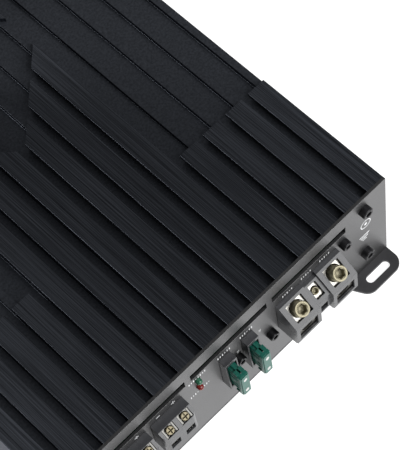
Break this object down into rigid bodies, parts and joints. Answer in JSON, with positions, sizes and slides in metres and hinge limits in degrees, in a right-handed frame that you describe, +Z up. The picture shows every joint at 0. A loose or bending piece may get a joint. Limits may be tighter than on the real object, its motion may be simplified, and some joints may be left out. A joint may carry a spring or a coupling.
{
  "type": "car amplifier",
  "caption": "Two-channel car audio amplifier: black finned heat sink casing, grey terminal panel with wire terminals and blade fuses, slotted corner feet",
  "frame": {"origin": "bottom centre of the casing, on the plane the bottom plate rests on", "axes": "+Z up, terminal panel faces -Y, fins run along Y, X across the width"},
  "size_m": [0.199, 0.3845, 0.0712],
  "materials": {
    "bass_knob": "satin",
    "board_screws": "black oxide",
    "board_standoffs": "satin",
    "boost_switch_slider": "satin",
    "bottom_plate": "powder coat",
    "bottom_plate_screws": "black oxide",
    "clamp_bar_left": "zinc plated",
    "clamp_bar_right": "zinc plated",
    "clamp_screws": "black oxide",
    "control_pots": "satin",
    "crossover_knob": "satin",
    "filter_capacitors": "sleeve",
    "front_panel": "satin",
    "front_panel_screws": "black oxide",
    "fuse_body_1": "translucent",
    "fuse_body_2": "translucent",
    "fuse_contacts_1": "plated",
    "fuse_contacts_2": "plated",
    "fuse_element_1": "plated",
    "fuse_element_2": "plated",
    "fuse_holder_1": "satin",
    "fuse_holder_2": "satin",
    "gain_knob": "satin",
    "ground_set_screw": "plated",
    "ground_terminal_block": "plated",
    "heat_sink": "brushed, black anodised",
    "input_jack_block": "satin",
    "input_jack_shells": "plated",
    "insulating_pad_left": "matte",
    "insulating_pad_right": "matte",
    "main_board": "solder mask",
    "mode_switch_slider": "satin",
    "output_coils": "enamelled copper",
    "power_light": "translucent",
    "power_terminal_housing": "satin",
    "protection_light": "translucent",
    "rear_panel": "satin",
    "rear_panel_screws": "black oxide",
    "remote_port": "satin",
    "remote_set_screw": "plated",
    "remote_terminal_block": "plated",
    "slide_switches": "satin",
    "speaker_clamp_1": "plated",
    "speaker_clamp_2": "plated",
    "speaker_clamp_3": "plated",
    "speaker_clamp_4": "plated",
    "speaker_housing_1": "satin",
    "speaker_housing_2": "satin",
    "speaker_screw_1": "plated",
    "speaker_screw_2": "plated",
    "speaker_screw_3": "plated",
    "speaker_screw_4": "plated",
    "supply_capacitors": "sleeve",
    "supply_set_screw": "plated",
    "supply_terminal_block": "plated",
    "toroid_1": "enamelled copper",
    "toroid_2": "enamelled copper",
    "toroid_washers": "zinc plated",
    "transistors_left": "satin",
    "transistors_right": "satin"
  },
  "bodies": {
    "casing": {"board_screws": "board_screws", "board_standoffs": "board_standoffs", "bottom_plate": "bottom_plate", "bottom_plate_screws": "bottom_plate_screws", "clamp_bar_left": "clamp_bar_left", "clamp_bar_right": "clamp_bar_right", "clamp_screws": "clamp_screws", "control_pots": "control_pots", "filter_capacitors": "filter_capacitors", "front_panel": "front_panel", "front_panel_screws": "front_panel_screws", "fuse_contacts_1": "fuse_contacts_1", "fuse_contacts_2": "fuse_contacts_2", "fuse_holder_1": "fuse_holder_1", "fuse_holder_2": "fuse_holder_2", "ground_terminal_block": "ground_terminal_block", "heat_sink": "heat_sink", "input_jack_block": "input_jack_block", "input_jack_shells": "input_jack_shells", "insulating_pad_left": "insulating_pad_left", "insulating_pad_right": "insulating_pad_right", "main_board": "main_board", "output_coils": "output_coils", "power_light": "power_light", "power_terminal_housing": "power_terminal_housing", "protection_light": "protection_light", "rear_panel": "rear_panel", "rear_panel_screws": "rear_panel_screws", "remote_port": "remote_port", "remote_terminal_block": "remote_terminal_block", "slide_switches": "slide_switches", "speaker_clamp_1": "speaker_clamp_1", "speaker_clamp_2": "speaker_clamp_2", "speaker_clamp_3": "speaker_clamp_3", "speaker_clamp_4": "speaker_clamp_4", "speaker_housing_1": "speaker_housing_1", "speaker_housing_2": "speaker_housing_2", "supply_capacitors": "supply_capacitors", "supply_terminal_block": "supply_terminal_block", "toroid_1": "toroid_1", "toroid_2": "toroid_2", "toroid_washers": "toroid_washers", "transistors_left": "transistors_left", "transistors_right": "transistors_right"},
    "fuse_1": {"fuse_body_1": "fuse_body_1", "fuse_element_1": "fuse_element_1"},
    "fuse_2": {"fuse_body_2": "fuse_body_2", "fuse_element_2": "fuse_element_2"},
    "ground_screw": {"ground_set_screw": "ground_set_screw"},
    "supply_screw": {"supply_set_screw": "supply_set_screw"},
    "remote_screw": {"remote_set_screw": "remote_set_screw"},
    "clamp_screw_1": {"speaker_screw_1": "speaker_screw_1"},
    "clamp_screw_2": {"speaker_screw_2": "speaker_screw_2"},
    "clamp_screw_3": {"speaker_screw_3": "speaker_screw_3"},
    "clamp_screw_4": {"speaker_screw_4": "speaker_screw_4"},
    "gain_control": {"gain_knob": "gain_knob"},
    "crossover_control": {"crossover_knob": "crossover_knob"},
    "bass_control": {"bass_knob": "bass_knob"},
    "mode_switch": {"mode_switch_slider": "mode_switch_slider"},
    "boost_switch": {"boost_switch_slider": "boost_switch_slider"}
  },
  "joints": [
    {"name": "fuse_1_pull", "type": "slide", "parent": "casing", "child": "fuse_1", "axis": [0, -1, 0], "range_m": [0, 0.022]},
    {"name": "fuse_2_pull", "type": "slide", "parent": "casing", "child": "fuse_2", "axis": [0, -1, 0], "range_m": [0, 0.022]},
    {"name": "ground_screw_drive", "type": "slide", "parent": "casing", "child": "ground_screw", "axis": [0, 0.5736, -0.8192], "range_m": [0, 0.006]},
    {"name": "supply_screw_drive", "type": "slide", "parent": "casing", "child": "supply_screw", "axis": [0, 0.5736, -0.8192], "range_m": [0, 0.006]},
    {"name": "remote_screw_drive", "type": "slide", "parent": "casing", "child": "remote_screw", "axis": [0, 0.5736, -0.8192], "range_m": [0, 0.0035]},
    {"name": "clamp_screw_1_drive", "type": "slide", "parent": "casing", "child": "clamp_screw_1", "axis": [0, 0.5736, -0.8192], "range_m": [0, 0.0015]},
    {"name": "clamp_screw_2_drive", "type": "slide", "parent": "casing", "child": "clamp_screw_2", "axis": [0, 0.5736, -0.8192], "range_m": [0, 0.0015]},
    {"name": "clamp_screw_3_drive", "type": "slide", "parent": "casing", "child": "clamp_screw_3", "axis": [0, 0.5736, -0.8192], "range_m": [0, 0.0015]},
    {"name": "clamp_screw_4_drive", "type": "slide", "parent": "casing", "child": "clamp_screw_4", "axis": [0, 0.5736, -0.8192], "range_m": [0, 0.0015]},
    {"name": "gain_turn", "type": "hinge", "parent": "casing", "child": "gain_control", "pos_m": [-0.008, 0.18, 0.0412], "axis": [0, 1, 0], "range_deg": [-150, 150]},
    {"name": "crossover_turn", "type": "hinge", "parent": "casing", "child": "crossover_control", "pos_m": [0.014, 0.18, 0.0412], "axis": [0, 1, 0], "range_deg": [-150, 150]},
    {"name": "bass_turn", "type": "hinge", "parent": "casing", "child": "bass_control", "pos_m": [0.036, 0.18, 0.0412], "axis": [0, 1, 0], "range_deg": [-150, 150]},
    {"name": "mode_switch_slide", "type": "slide", "parent": "casing", "child": "mode_switch", "axis": [1, 0, 0], "range_m": [-0.002, 0.002]},
    {"name": "boost_switch_slide", "type": "slide", "parent": "casing", "child": "boost_switch", "axis": [1, 0, 0], "range_m": [-0.002, 0.002]}
  ]
}
